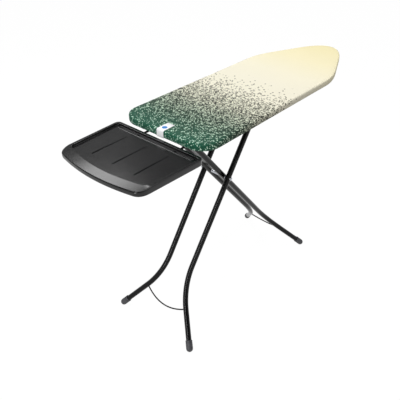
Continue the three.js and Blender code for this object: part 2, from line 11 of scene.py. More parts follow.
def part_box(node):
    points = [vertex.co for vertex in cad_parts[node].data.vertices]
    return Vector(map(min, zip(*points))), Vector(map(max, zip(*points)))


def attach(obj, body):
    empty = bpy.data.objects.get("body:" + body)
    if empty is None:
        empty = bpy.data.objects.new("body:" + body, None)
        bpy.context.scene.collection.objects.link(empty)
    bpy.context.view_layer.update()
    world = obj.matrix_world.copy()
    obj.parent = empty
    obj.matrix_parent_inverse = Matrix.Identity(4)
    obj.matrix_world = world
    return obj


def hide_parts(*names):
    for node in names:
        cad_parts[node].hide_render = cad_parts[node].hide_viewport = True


bl_info = {
    "name": "Folding ironing board",
    "version": (1, 0, 0),
    "blender": (4, 5, 0),
    "location": "View3D > Sidebar > Ironing board",
    "description": "Builds an ironing board's cover, legs, tray and hardware round its frame",
    "category": "Add Mesh",
}

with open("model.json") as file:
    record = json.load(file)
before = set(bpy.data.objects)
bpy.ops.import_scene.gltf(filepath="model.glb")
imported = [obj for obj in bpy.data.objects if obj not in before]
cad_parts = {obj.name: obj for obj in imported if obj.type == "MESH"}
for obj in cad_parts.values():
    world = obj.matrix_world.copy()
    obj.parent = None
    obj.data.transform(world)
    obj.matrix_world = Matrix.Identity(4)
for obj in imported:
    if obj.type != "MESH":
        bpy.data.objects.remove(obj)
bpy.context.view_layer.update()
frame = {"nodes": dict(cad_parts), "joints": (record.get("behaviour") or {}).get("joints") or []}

MM = 0.001
SIDES = (("left", 1.0), ("right", -1.0))
UP = Vector((0, 0, 1))
LEFT = Vector((0, 1, 0))
JOINTS = {joint["name"]: joint for joint in frame["joints"]}


# ---- outlines and curves in the plane ----

def bezier(p0, p1, p2, p3, steps):
    """Points on a cubic curve, without its first one."""
    points = []
    for i in range(1, steps + 1):
        t = i / steps
        u = 1.0 - t
        points.append(Vector([
            u**3 * a + 3 * u * u * t * b + 3 * u * t * t * c + t**3 * d
            for a, b, c, d in zip(p0, p1, p2, p3)
        ]))
    return points


def bend(p0, middle, p1, steps):
    """Points on a quadratic curve, without its first one."""
    p0, middle, p1 = Vector(p0), Vector(middle), Vector(p1)
    return bezier(p0, p0.lerp(middle, 2 / 3), p1.lerp(middle, 2 / 3), p1, steps)


def arc(middle, radius, start, turn, steps):
    """Points round a middle from the start angle on, with both ends."""
    angles = [start + turn * i / steps for i in range(steps + 1)]
    return [
        Vector((middle[0] + radius * math.cos(a), middle[1] + radius * math.sin(a))) for a in angles
    ]


def evenly(points, count):
    """The closed outline again, as count points the same way apart."""
    closed = points + [points[0]]
    lengths = [(b - a).length for a, b in zip(closed, closed[1:])]
    step = sum(lengths) / count
    found, index, travelled = [], 0, 0.0
    for i in range(count):
        while travelled + lengths[index] < i * step - 1e-12:
            travelled += lengths[index]
            index += 1
        share = (i * step - travelled) / lengths[index]
        found.append(closed[index].lerp(closed[index + 1], share))
    return found


def inset(points, distance):
    """The closed counter-clockwise outline moved inwards."""
    moved = []
    for i, point in enumerate(points):
        along = points[(i + 1) % len(points)] - points[i - 1]
        along.normalize()
        moved.append(Vector((point.x - along.y * distance, point.y + along.x * distance)))
    return moved


def mirrored(near):
    """A full outline from its near half, which starts and ends on the middle line."""
    return near + [Vector((p.x, -p.y)) for p in reversed(near[1:-1])]


class BoundaryTest:
    """Says whether a point lies within a closed outline."""

    def __init__(self, outline):
        self.outline = outline

    def __call__(self, point):
        inside = False
        for i, b in enumerate(self.outline):
            a = self.outline[i - 1]
            if (a.y > point.y) != (b.y > point.y):
                if point.x < a.x + (point.y - a.y) * (b.x - a.x) / (b.y - a.y):
                    inside = not inside
        return inside


# Half widths where the taper and the nose begin, and of the nose curve's two handles, all as
# shares of the board's full half width.
TAPER_HALF, NOSE_HALF, HANDLE_HALF, TIP_HALF = 0.823, 0.5456, 0.3955, 0.2157
# How far the first handle reaches forwards, and how the knee of the shoulder's curve lies between
# the shoulder's start and end.
HANDLE_REACH, KNEE_SHARE, KNEE_BACK = 0.075, 0.5185, 0.045


def board_outline(count):
    """The board from above, counter-clockwise from the middle of its tail."""
    low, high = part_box("cover")
    sizes = bpy.context.scene.ironing_board.cover
    half = high.y
    corner = sizes.tail_corner
    near = [Vector((low.x, 0.0))]
    near += arc((low.x + corner, corner - half), corner, math.pi, math.pi / 2, 12)
    shoulder = Vector((low.x + sizes.shoulder_start, -half))
    taper = Vector((low.x + sizes.shoulder_end, -TAPER_HALF * half))
    knee = low.x + KNEE_SHARE * (sizes.shoulder_start + sizes.shoulder_end) - KNEE_BACK
    near.append(shoulder)
    near += bend(shoulder, (knee, -half), taper, 12)
    nose = Vector((low.x + sizes.nose_start, -NOSE_HALF * half))
    tip = Vector((high.x, 0.0))
    handle = (nose.x + HANDLE_REACH, -HANDLE_HALF * half)
    near.append(nose)
    near += bezier(nose, handle, (tip.x, -TIP_HALF * half), tip, 20)
    return evenly(mirrored(near), count)


# ---- meshes ----

JOIN = 0.02 * MM  # vertices closer than this are one
CHAMFER = 0.4 * MM


def weld(made):
    """Joins vertices in one place, such as the two ends of a closed loop of rings."""
    work = bmesh.new()
    work.from_mesh(made.data)
    bmesh.ops.remove_doubles(work, verts=work.verts, dist=JOIN)
    bmesh.ops.recalc_face_normals(work, faces=work.faces)
    work.to_mesh(made.data)
    work.free()


def piece(name, vertices, faces, body, finish, slot, sharp=35.0):
    """A new object that rides on a body, smooth but for edges sharper than an angle in degrees."""
    mesh = bpy.data.meshes.new(name)
    mesh.from_pydata([tuple(v) for v in vertices], [], faces)
    mesh.validate()
    tidy = bmesh.new()
    tidy.from_mesh(mesh)
    bmesh.ops.recalc_face_normals(tidy, faces=tidy.faces)
    tidy.to_mesh(mesh)
    tidy.free()
    mesh.shade_smooth()
    mesh.set_sharp_from_angle(angle=math.radians(sharp))
    made = bpy.data.objects.new(name, mesh)
    bpy.context.scene.collection.objects.link(made)
    mesh.materials.append(finish)
    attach(made, body)
    return made


def loft(rings, cap_first=True, cap_last=True):
    """Vertices and faces of closed rings of one size, joined in order."""
    count = len(rings[0])
    vertices = [v for ring in rings for v in ring]
    faces = []
    for r in range(len(rings) - 1):
        for i in range(count):
            j = (i + 1) % count
            faces.append((r * count + i, r * count + j, (r + 1) * count + j, (r + 1) * count + i))
    if cap_first:
        faces.append(tuple(range(count)))
    if cap_last:
        faces.append(tuple(range((len(rings) - 1) * count, len(rings) * count)))
    return vertices, faces


def grid(rows, columns):
    """Faces of an open sheet whose vertices stand in rows."""
    return [
        (a, a + 1, a + columns + 1, a + columns)
        for a in (r * columns + k for r in range(rows - 1) for k in range(columns - 1))
    ]


def thicken(made, thickness, offset=0.0):
    wall = made.modifiers.new("thickness", "SOLIDIFY")
    wall.thickness = thickness
    wall.offset = offset


def tube_rings(centres, tangents, across, radius, sides):
    """Round sections along a path that keeps square to across."""
    rings = []
    for centre, tangent in zip(centres, tangents):
        second = tangent.cross(across).normalized()
        rings.append([
            centre + radius * (math.cos(a) * across + math.sin(a) * second)
            for a in (2 * math.pi * i / sides for i in range(sides))
        ])
    return rings


def turned(name, start, end, profile, body, finish, slot, sides=40):
    """A round piece from start towards end. Its profile has (distance along, radius) points, and
    is a closed loop unless it begins on the axis."""
    along = (end - start).normalized()
    across = along.orthogonal().normalized()
    rings = []
    for distance, radius in profile:
        centre = start + along * distance
        rings += tube_rings([centre], [along], across, max(radius, 1e-5), sides)
    on_axis = profile[0][1] == 0.0
    if not on_axis:
        rings.append(rings[0])
    made = piece(name, *loft(rings, on_axis, on_axis), body, finish, slot)
    weld(made)
    return made


def round_from_node(node, axis, bore, body, finish, slot):
    """A smooth, chamfered piece in the place of a plain round one. A bore of 0 is solid."""
    low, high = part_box(node)
    middle = (low + high) / 2
    start, end = middle.copy(), middle.copy()
    start[axis], end[axis] = low[axis], high[axis]
    length = high[axis] - low[axis]
    radius = (high.z - low.z) / 2
    near, far = CHAMFER, length - CHAMFER
    profile = [(0.0, radius - CHAMFER), (near, radius), (far, radius), (length, radius - CHAMFER)]
    if bore:
        profile += [(length, bore + CHAMFER), (far, bore), (near, bore), (0.0, bore + CHAMFER)]
    else:
        profile = [(0.0, 0.0), *profile, (length, 0.0)]
    made = turned(f"{node}_turned", start, end, profile, body, finish, slot)
    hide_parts(node)


def dress(node, finish, slot, edge=CHAMFER):
    """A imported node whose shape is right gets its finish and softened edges."""
    shown = frame["nodes"][node]
    shown.data.materials.clear()
    shown.data.materials.append(finish)
    join = shown.modifiers.new("join corners", "WELD")
    join.merge_threshold = JOIN
    if edge:
        soften = shown.modifiers.new("soft edges", "BEVEL")
        soften.width = edge
        soften.segments = 2
        soften.limit_method = "ANGLE"
        soften.angle_limit = math.radians(40)
        soften.harden_normals = True


# ---- materials ----

class Nodes:
    """Short ways to add nodes to a tree and link them."""

    def __init__(self, tree):
        self.tree = tree

    def add(self, kind, settings=None, **inputs):
        """A new node. An input's name has _ for each space."""
        node = self.tree.nodes.new(kind)
        for key, value in (settings or {}).items():
            setattr(node, key, value)
        for key, value in inputs.items():
            self.feed(node.inputs[key.replace("_", " ")], value)
        return node

    def feed(self, socket, value):
        if isinstance(value, bpy.types.NodeSocket):
            self.tree.links.new(value, socket)
        else:
            socket.default_value = value

    def math(self, operation, *values):
        node = self.add("ShaderNodeMath", {"operation": operation})
        for socket, value in zip(node.inputs, values):
            self.feed(socket, value)
        return node.outputs[0]

    def blend(self, share, first, second, output):
        """Sends a mix of two shader nodes to the output node of that name."""
        node = self.add("ShaderNodeMixShader")
        for socket, value in zip(node.inputs, (share, first.outputs[0], second.outputs[0])):
            self.feed(socket, value)
        self.feed(self.tree.nodes[output].inputs["Surface"], node.outputs[0])


class Finish(Nodes):
    """One material, with short ways to give it colour, gloss and relief."""

    def __init__(self, name, colour, roughness, metallic=0.0):
        self.material = bpy.data.materials.new(name)
        self.material.use_nodes = True
        super().__init__(self.material.node_tree)
        self.shader = self.tree.nodes["Principled BSDF"]
        self.colour((*colour, 1.0))
        self.roughness(roughness)
        self.feed(self.shader.inputs["Metallic"], metallic)
        self.place = self.add("ShaderNodeTexCoord").outputs["Object"]

    def colour(self, value):
        self.feed(self.shader.inputs["Base Color"], value)

    def roughness(self, value):
        self.feed(self.shader.inputs["Roughness"], value)

    def specular(self, value):
        self.feed(self.shader.inputs["Specular IOR Level"], value)

    def bump(self, height, distance, strength):
        node = self.add("ShaderNodeBump", Height=height, Strength=strength, Distance=distance)
        self.feed(self.shader.inputs["Normal"], node.outputs[0])

    def noise(self, scale, detail=3.0, stretch=None):
        place = self.place
        if stretch:
            place = self.add("ShaderNodeMapping", Vector=place, Scale=stretch).outputs[0]
        made = self.add("ShaderNodeTexNoise", Vector=place, Scale=scale, Detail=detail)
        return made.outputs["Fac"]

    def spread(self, value, low, high):
        """A 0 to 1 value moved to the range low to high."""
        return self.add("ShaderNodeMapRange", Value=value, To_Min=low, To_Max=high).outputs[0]

    def ramp(self, value, stops):
        """A colour for the value, from (value, colour) stops. A grey may be given as one number."""
        stops = [(at, look if isinstance(look, tuple) else (look,) * 3) for at, look in stops]
        node = self.add("ShaderNodeValToRGB", Fac=value)
        elements = node.color_ramp.elements
        elements[0].position, elements[0].color = stops[0][0], (*stops[0][1], 1.0)
        elements[1].position, elements[1].color = stops[-1][0], (*stops[-1][1], 1.0)
        for position, colour in stops[1:-1]:
            element = elements.new(position)
            element.color = (*colour, 1.0)
        return node.outputs["Color"]

    def mix(self, factor, first, second):
        node = self.add("ShaderNodeMix", {"data_type": "RGBA"})
        self.feed(node.inputs[0], factor)
        for socket, value in ((node.inputs[6], first), (node.inputs[7], second)):
            linked = isinstance(value, bpy.types.NodeSocket)
            self.feed(socket, value if linked else (*value, 1.0))
        return node.outputs[2]

    def weave(self, pitch):
        """The height of a plain weave with threads this far apart."""
        threads = []
        for axis in ("X", "Y"):
            node = self.add(
                "ShaderNodeTexWave", {"bands_direction": axis}, Vector=self.place,
                Scale=0.314 / pitch, Distortion=0.6, Detail=1.0,
            )
            threads.append(node.outputs["Fac"])
        return self.math("MULTIPLY", *threads)


def linear(*shades):
    """A colour given as 0 to 255 display values, as the shader wants it."""
    return tuple(
        s / 255 / 12.92 if s <= 10 else ((s / 255 + 0.055) / 1.055) ** 2.4 for s in shades
    )


# The second print's round dots: their number per fleck, their radius in their own cells, and how
# far the print's bands waver along the board, as a share of its length.
DOTS_PER_FLECK, DOT_RADIUS, DRIFT = 0.44, 0.42, 0.035


def cover_print():
    """Cotton printed with flecks: green at the tail, thinning out to cream and a yellow nose."""
    low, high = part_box("cover")
    sizes = bpy.context.scene.ironing_board.cover
    finish = Finish("cover_print", linear(225, 220, 200), 0.88)
    split = finish.add("ShaderNodeSeparateXYZ", Vector=finish.place)
    along = finish.add(
        "ShaderNodeMapRange", Value=split.outputs["X"], From_Min=low.x, From_Max=high.x,
    )
    drift = finish.math("MULTIPLY", finish.math("SUBTRACT", finish.noise(7.0, 2.0), 0.5), DRIFT)
    share = finish.math("ADD", along.outputs[0], drift)
    ground = finish.ramp(share, [
        (0.0, linear(184, 222, 200)), (0.12, linear(192, 218, 192)), (0.25, linear(218, 220, 198)),
        (0.37, linear(230, 226, 206)), (0.5, linear(232, 227, 207)), (0.62, linear(236, 230, 206)),
        (0.8, linear(239, 230, 192)), (1.0, linear(238, 227, 178)),
    ])
    ink = finish.ramp(share, [
        (0.0, linear(0, 82, 60)), (0.06, linear(2, 72, 52)), (0.13, linear(12, 52, 36)),
        (0.25, linear(26, 30, 22)), (0.4, linear(36, 34, 26)),
    ])
    cells = finish.add(
        "ShaderNodeTexVoronoi", Vector=finish.place, Scale=1.0 / sizes.fleck, Randomness=0.95,
    )
    pick = finish.add("ShaderNodeSeparateColor", Color=cells.outputs["Color"])
    inked_share = finish.ramp(share, [
        (0.0, 0.88), (0.07, 0.87), (0.12, 0.82), (0.165, 0.76), (0.213, 0.66),
        (0.26, 0.51), (0.307, 0.33), (0.355, 0.16), (0.402, 0.03), (0.43, 0.0),
    ])
    dots = finish.add(
        "ShaderNodeTexVoronoi", Vector=finish.place, Scale=DOTS_PER_FLECK / sizes.fleck,
        Randomness=0.85,
    )
    dot_pick = finish.add("ShaderNodeSeparateColor", Color=dots.outputs["Color"])
    dot_share = finish.ramp(share, [
        (0.18, 0.0), (0.25, 0.3), (0.31, 0.58), (0.355, 0.66), (0.39, 0.5),
        (0.425, 0.27), (0.46, 0.1), (0.5, 0.02), (0.54, 0.0),
    ])
    chosen = finish.math("LESS_THAN", pick.outputs["Red"], inked_share)
    dotted = finish.math("LESS_THAN", dot_pick.outputs["Red"], dot_share)
    round_dots = finish.math("LESS_THAN", dots.outputs["Distance"], DOT_RADIUS)
    inked = finish.math("MAXIMUM", chosen, finish.math("MULTIPLY", dotted, round_dots))
    strength = finish.spread(pick.outputs["Green"], 0.6, 1.2)
    toned = finish.add("ShaderNodeVectorMath", {"operation": "SCALE"}, Scale=strength)
    finish.feed(toned.inputs[0], ink)
    printed = finish.mix(inked, ground, toned.outputs[0])
    worn = finish.spread(finish.noise(9.0, 4.0), 0.0, 0.06)
    finish.colour(finish.mix(worn, printed, linear(150, 150, 130)))
    finish.bump(finish.weave(sizes.thread), 0.12 * MM, 0.35)
    finish.shader.inputs["Sheen Weight"].default_value = 0.1
    finish.specular(0.25)
    return finish.material


TAPE_WHITE, TAPE_BLUE = linear(240, 241, 242), linear(58, 128, 200)
TAPE_DOT = 10.5 * MM


def tape_cloth():
    """White woven tape with a plain blue dot on its top side."""
    low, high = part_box("care_label")
    finish = Finish("tape_cloth", TAPE_WHITE, 0.8)
    split = finish.add("ShaderNodeSeparateXYZ", Vector=finish.place)
    squares = []
    for axis, centre in (("X", low.x + 26 * MM), ("Y", (low.y + high.y) / 2)):
        away = finish.math("SUBTRACT", split.outputs[axis], centre)
        squares.append(finish.math("MULTIPLY", away, away))
    inside = finish.math("LESS_THAN", finish.math("ADD", *squares), TAPE_DOT ** 2)
    above = finish.math("GREATER_THAN", split.outputs["Z"], high.z - 3 * MM)
    mark = finish.math("MULTIPLY", inside, above)
    finish.colour(finish.mix(mark, TAPE_WHITE, TAPE_BLUE))
    finish.bump(finish.weave(0.7 * MM), 0.1 * MM, 0.4)
    return finish.material


def white_cord():
    finish = Finish("white_cord", linear(226, 224, 216), 0.85)
    finish.bump(finish.weave(0.8 * MM), 0.3 * MM, 0.5)
    return finish.material


def felt():
    """Undyed felt with loose fibres."""
    finish = Finish("felt", linear(206, 200, 184), 0.95)
    fibres = finish.noise(900.0, 5.0, (1.0, 0.3, 1.0))
    finish.colour(finish.mix(fibres, linear(188, 182, 165), linear(222, 217, 203)))
    finish.bump(fibres, 0.4 * MM, 0.6)
    return finish.material


def black_enamel():
    """Glossy powder coat with a faint orange peel."""
    finish = Finish("black_enamel", linear(4, 4, 5), 0.16)
    finish.roughness(finish.spread(finish.noise(55.0, 4.0), 0.12, 0.2))
    finish.bump(finish.noise(420.0, 2.0), 0.05 * MM, 0.25)
    finish.specular(0.2)
    return finish.material


def panel_paint():
    finish = Finish("panel_paint", linear(52, 53, 56), 0.45, 0.3)
    finish.roughness(finish.spread(finish.noise(80.0), 0.35, 0.6))
    finish.bump(finish.noise(700.0), 0.05 * MM, 0.4)
    return finish.material


def zinc():
    """Zinc plate with a fine drawn grain and dull patches."""
    finish = Finish("zinc", linear(196, 198, 204), 0.3, 1.0)
    grain = finish.noise(260.0, 3.0, (0.08, 1.0, 1.0))
    finish.roughness(finish.spread(finish.noise(70.0), 0.24, 0.42))
    finish.colour(finish.mix(grain, linear(176, 179, 186), linear(212, 214, 219)))
    finish.bump(grain, 0.02 * MM, 0.3)
    return finish.material


def tray_plastic():
    """Moulded polypropylene with a fine spark-eroded grain."""
    finish = Finish("tray_plastic", linear(11, 11, 12), 0.2)
    finish.specular(0.4)
    finish.roughness(finish.spread(finish.noise(38.0, 4.0), 0.17, 0.22))
    finish.colour(finish.mix(finish.noise(16.0), linear(9, 9, 10), linear(13, 13, 14)))
    finish.bump(finish.noise(1300.0, 2.0), 0.04 * MM, 0.12)
    return finish.material


def foot_plastic():
    finish = Finish("foot_plastic", linear(62, 62, 66), 0.55)
    finish.colour(finish.mix(finish.noise(120.0), linear(56, 56, 60), linear(70, 70, 74)))
    finish.bump(finish.noise(1100.0), 0.08 * MM, 0.4)
    return finish.material


def nylon():
    finish = Finish("nylon", linear(34, 34, 36), 0.5)
    finish.roughness(finish.spread(finish.noise(90.0), 0.4, 0.58))
    finish.bump(finish.noise(1200.0), 0.05 * MM, 0.4)
    return finish.material


FINISHES = {}


def finish(make):
    """The material that a maker function gives, made once."""
    if make.__name__ not in FINISHES:
        FINISHES[make.__name__] = make()
    return FINISHES[make.__name__]


# ---- settings ----

def length_setting(name, description, default=0.0, **limits):
    return bpy.props.FloatProperty(
        name=name, description=description, default=default, unit="LENGTH", subtype="DISTANCE",
        **limits)


def angle_setting(name, description, degrees=0.0):
    return bpy.props.FloatProperty(
        name=name, description=description, default=math.radians(degrees), unit="ROTATION",
        subtype="ANGLE")


class CoverSettings(bpy.types.PropertyGroup):
    tail_corner: length_setting("Tail corner", "Corner radius at the tail", 0.08, min=0.02)
    shoulder_start: length_setting(
        "Shoulder start", "Where the long sides begin to turn inwards, from the tail", 0.845)
    shoulder_end: length_setting(
        "Shoulder end", "Where the straight taper begins, from the tail", 1.0)
    nose_start: length_setting(
        "Nose start", "Where the taper turns into the round nose, from the tail", 1.14)
    fleck: length_setting("Fleck", "Size of one printed fleck", 0.0036, min=0.001)
    thread: length_setting("Thread", "Distance between threads of the cloth", 0.0006)
    gather: length_setting("Gather", "Height of the hem's puckers", 0.0016)


class LegSettings(bpy.types.PropertyGroup):
    half_gap: length_setting("Half gap", "Half the distance between the pair's straight runs")
    splay_run: length_setting("Splay run", "Distance down the leg to the middle of its bend")
    splay: angle_setting("Splay", "Angle that each leg turns outwards")
    bend_radius: length_setting("Bend radius", "Radius of the bend along the tube's middle")
    brace_run: length_setting("Brace run", "Distance down the leg to the brace's ends")
    brace_sag: length_setting("Brace sag", "How far the brace bows towards the floor")


class StageSettings(bpy.types.PropertyGroup):
    place: bpy.props.FloatVectorProperty(
        name="Camera place", description="Where the camera stands",
        default=(-1.6618, -1.2463, 1.8849), unit="LENGTH", subtype="TRANSLATION")
    heading: angle_setting("Heading", "Turn of the view from +X towards +Y", 41.238)
    tilt: angle_setting("Tilt", "How far the view looks down", 35.008)
    lens: bpy.props.FloatProperty(
        name="Lens", description="Focal length on a 36 mm sensor", default=46.175, unit="CAMERA")


class BoardSettings(bpy.types.PropertyGroup):
    cover: bpy.props.PointerProperty(type=CoverSettings)
    nose_legs: bpy.props.PointerProperty(type=LegSettings)
    tail_legs: bpy.props.PointerProperty(type=LegSettings)
    stage: bpy.props.PointerProperty(type=StageSettings)


# ---- board top ----

def ring_at(outline, distance, height):
    return [Vector((p.x, p.y, height)) for p in inset(outline, distance)]


def to_spine(ring, share):
    """The ring drawn in towards the board's middle line."""
    first = min(v.x for v in ring)
    last = max(v.x for v in ring)
    room = 0.5 * (max(v.y for v in ring) - min(v.y for v in ring))
    drawn = []
    for v in ring:
        held = min(max(v.x, first + room), last - 0.9 * room)
        drawn.append(Vector((held + (v.x - held) * share, v.y * share, v.z)))
    return drawn


def close_spine(rings):
    """Vertices and faces of joined rings, the last one zipped shut along the middle line."""
    vertices, faces = loft(rings, False, False)
    count = len(rings[0])
    base = (len(rings) - 1) * count
    for i in range(count // 2):
        a, b = base + i, base + i + 1
        c, d = base + (count - i - 1) % count, base + (count - i) % count
        loop = tuple(dict.fromkeys((a, b, c, d)))
        if len(loop) > 2:
            faces.append(loop)
    return vertices, faces


CORD_INSET, CORD_RADIUS = 11.5 * MM, 1.4 * MM

# Thicknesses of the cover's cloth, the label's tape, the panel's strands, the plate between the
# nose legs and the tray.
CLOTH, TAPE, STRAND, WEB_SHEET, TRAY_WALL = 0.9 * MM, 0.45 * MM, 1.5 * MM, 1.5 * MM, 2.2 * MM


class IRONBOARD_OT_cover(bpy.types.Operator):
    """Printed cotton cover with a rounded edge and a gathered hem turned under the board"""
    bl_idname = "ironboard.cover"
    bl_label = "Cover"

    def execute(self, context):
        low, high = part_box("cover")
        sizes = context.scene.ironing_board.cover
        outline = board_outline(420)
        # Distance in from the edge, height and share of the puckers, from the hem to the top.
        below = (
            (21, 2.6, 1.0), (15, 1.4, 0.9), (9, 0.9, 0.5), (4, 0.7, 0.2), (1.4, 1.6, 0.12),
            (0.3, 4, 0.1), (0.0, 9, 0.05), (0.0, 15, 0.0),
        )
        above = (
            (0.0, 9), (0.5, 5.2), (1.8, 2.8), (4.0, 1.3), (8.0, 0.6), (15.0, 0.25), (30.0, 0.1),
        )
        section = [(distance, low.z + rise * MM, pucker) for distance, rise, pucker in below]
        section += [(distance, high.z - drop * MM, 0.0) for distance, drop in above]
        rings = []
        for distance, height, pucker in section:
            ring = ring_at(outline, distance * MM, height)
            for i, v in enumerate(ring):
                wave = math.sin(i * 1.9 + 3.0 * noise.noise(Vector((v.x * 14, v.y * 14, 0.0))))
                v.z += sizes.gather * pucker * (1.0 + wave) * 0.5
                slack = noise.noise(Vector((v.x * 9, v.y * 9, v.z * 20)))
                pull = 0.35 * MM * slack * (1.0 if distance < 1 else 0.0)
                v.y -= pull * (1 if v.y > 0 else -1)
            rings.append(ring)
        flat = rings[-1]
        rings += [to_spine(flat, share) for share in (0.82, 0.62, 0.42, 0.24, 0.1)]
        on_top = rings[12:]
        for ring in on_top:
            for v in ring:
                v.z += 0.25 * MM * noise.noise(Vector((v.x * 5, v.y * 5, 2.0)))
        cloth = piece("cover_cloth", *close_spine(rings), "board", finish(cover_print), "cover", 80)
        thicken(cloth, CLOTH, -1.0)
        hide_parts("cover")
        self.drawcord(outline)
        return {"FINISHED"}

    def drawcord(self, outline):
        low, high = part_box("cover_drawcord")
        height = (low.z + high.z) / 2
        centres = [Vector((p.x, p.y, height)) for p in inset(outline, CORD_INSET)]
        ahead = centres[1:] + centres[:1]
        tangents = [(after - centres[i - 1]).normalized() for i, after in enumerate(ahead)]
        rings = tube_rings(centres, tangents, UP, CORD_RADIUS, 8)
        rings.append(rings[0])
        parts = loft(rings, False, False)
        cord = piece("hem_drawcord", *parts, "board", finish(white_cord), "tape", 80)
        weld(cord)
        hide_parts("cover_drawcord")


class IRONBOARD_OT_underlay(bpy.types.Operator):
    """Felt and foam underlay, crowned at its edges"""
    bl_idname = "ironboard.underlay"
    bl_label = "Underlay"

    def execute(self, context):
        low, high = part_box("underlay_pad")
        outline = board_outline(300)
        clear = 2.0  # room for the cover's cloth
        below = ((12, 0.0), (2.5, 0.1), (0.6, 1.2), (0.2, 3.2))
        above = ((1.4, 1.2), (5, 0.2), (14, 0.1))
        section = [(distance, low.z + rise * MM) for distance, rise in below]
        section += [(distance, high.z - drop * MM) for distance, drop in above]
        rings = [ring_at(outline, (clear + distance) * MM, height) for distance, height in section]
        shares = (0.7, 0.35, 0.1)
        bottom, top = rings[0], rings[-1]
        vertices, faces = close_spine(rings + [to_spine(top, share) for share in shares])
        count = len(outline)
        under_vertices, under_faces = close_spine(
            [bottom] + [to_spine(bottom, share) for share in shares]
        )
        shift = len(vertices)
        vertices += under_vertices[count:]
        for face in under_faces:
            faces.append(tuple(v if v < count else v - count + shift for v in reversed(face)))
        pad = piece("underlay_foam", vertices, faces, "board", finish(felt), "felt", 60)
        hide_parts("underlay_pad")
        return {"FINISHED"}


class IRONBOARD_OT_panel(bpy.types.Operator):
    """Expanded steel mesh top, with its rim"""
    bl_idname = "ironboard.panel"
    bl_label = "Panel and rim"

    def execute(self, context):
        low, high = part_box("board_panel")
        # Half the length and half the width of the diamonds of the mesh.
        half_long, half_short = 10 * MM, 5 * MM
        inside = BoundaryTest(inset(board_outline(200), 6 * MM))
        columns = int((high.x - low.x) / half_long)
        rows = int(high.y / half_short)
        height = (low.z + high.z) / 2
        corners, faces = {}, []
        for i in range(1, columns):
            for j in range(-rows, rows + 1):
                around = [(i - 1, j), (i, j - 1), (i + 1, j), (i, j + 1)]
                points = [Vector((low.x + a * half_long, b * half_short)) for a, b in around]
                if (i + j) % 2 == 0 and all(inside(p) for p in points):
                    faces.append([corners.setdefault(c, len(corners)) for c in around])
        vertices = [(low.x + i * half_long, j * half_short, height) for i, j in corners]
        mesh = bpy.data.meshes.new("panel_mesh")
        mesh.from_pydata(vertices, [], faces)
        net = bpy.data.objects.new("panel_mesh", mesh)
        context.scene.collection.objects.link(net)
        mesh.materials.append(finish(panel_paint))
        strands = net.modifiers.new("strands", "WIREFRAME")
        strands.thickness = STRAND
        strands.use_even_offset = False
        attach(net, "board")
        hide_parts("board_panel")
        dress("board_rim", finish(black_enamel), "enamel")
        return {"FINISHED"}


class IRONBOARD_OT_label(bpy.types.Operator):
    """Loop of white tape sewn over the tail edge"""
    bl_idname = "ironboard.label"
    bl_label = "Care label"

    def execute(self, context):
        low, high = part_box("care_label")
        half = (high.y - low.y) / 2
        radius = 6 * MM
        face = low.x + 0.1 * MM
        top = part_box("cover")[1].z + 0.5 * MM
        # The tape's middle line in the XZ plane, from the board's top over its edge and down.
        spine = [Vector((high.x, top)), Vector((high.x - 20 * MM, top + 0.3 * MM))]
        spine.append(Vector((face + radius + 10 * MM, top)))
        spine += arc((face + radius, top - radius), radius, math.pi / 2, math.pi / 2, 8)
        spine += [
            Vector((face - 0.2 * MM, top - 14 * MM)), Vector((face, top - 22 * MM)),
            Vector((face + 0.2 * MM, low.z)),
        ]
        across = [half * (k / 3 - 1) for k in range(7)]
        vertices = [Vector((v.x, y, v.y)) for v in spine for y in across]
        faces = grid(len(spine), len(across))
        tape = piece("care_tape", vertices, faces, "board", finish(tape_cloth), "tape", 60)
        thicken(tape, TAPE)
        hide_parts("care_label")
        return {"FINISHED"}


# ---- legs ----

class LegLine:
    """The middle line of one pair's tubes, measured down from its axle."""

    def __init__(self, sizes, top, through):
        self.sizes = sizes
        self.top = top
        self.down = (through - top).normalized()
        self.out = self.down.cross(LEFT).normalized()
        self.turn_run = sizes.bend_radius * math.tan(sizes.splay / 2)

    def at(self, run, half):
        return self.top + self.down * run + LEFT * half

    def half_at(self, run):
        return self.sizes.half_gap + (run - self.sizes.splay_run) * math.tan(self.sizes.splay)

    def slant(self, side, turn):
        return self.down * math.cos(turn) + LEFT * (side * math.sin(turn))

    def tube(self, side, start, end):
        """Centres and directions of the tube from its top to its foot."""
        gap, splay, radius = self.sizes.half_gap, self.sizes.splay, self.sizes.bend_radius
        straight_end = self.sizes.splay_run - self.turn_run
        bend_end = straight_end + radius * math.sin(splay)
        centres, tangents = [], []
        for i in range(8):
            centres.append(self.at(start + (straight_end - start) * i / 8, side * gap))
            tangents.append(self.down)
        steps = 24
        for i in range(steps + 1):
            turn = splay * i / steps
            half = gap + radius * (1 - math.cos(turn))
            centres.append(self.at(straight_end + radius * math.sin(turn), side * half))
            tangents.append(self.slant(side, turn))
        for i in range(1, 5):
            run = bend_end + (end - bend_end) * i / 4
            centres.append(self.at(run, side * self.half_at(run)))
            tangents.append(self.slant(side, splay))
        return centres, tangents


def leg_lines():
    """The two pairs: the nose pair from its hinge, and the tail pair from its sliding bar."""
    sizes = bpy.context.scene.ironing_board
    crossing = Vector(JOINTS["leg_cross"]["pos_m"])
    low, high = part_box("slide_bar")
    return {
        "nose": LegLine(sizes.nose_legs, Vector(JOINTS["leg_fold"]["pos_m"]), crossing),
        "tail": LegLine(sizes.tail_legs, (low + high) / 2, crossing),
    }


# Radii of the leg tubes and the braces, and how far below its axle each pair's tubes start.
TUBE = 12.5 * MM
BRACE = 3.2 * MM
TOP_GAP = {"nose": 10.4 * MM, "tail": 9.4 * MM}

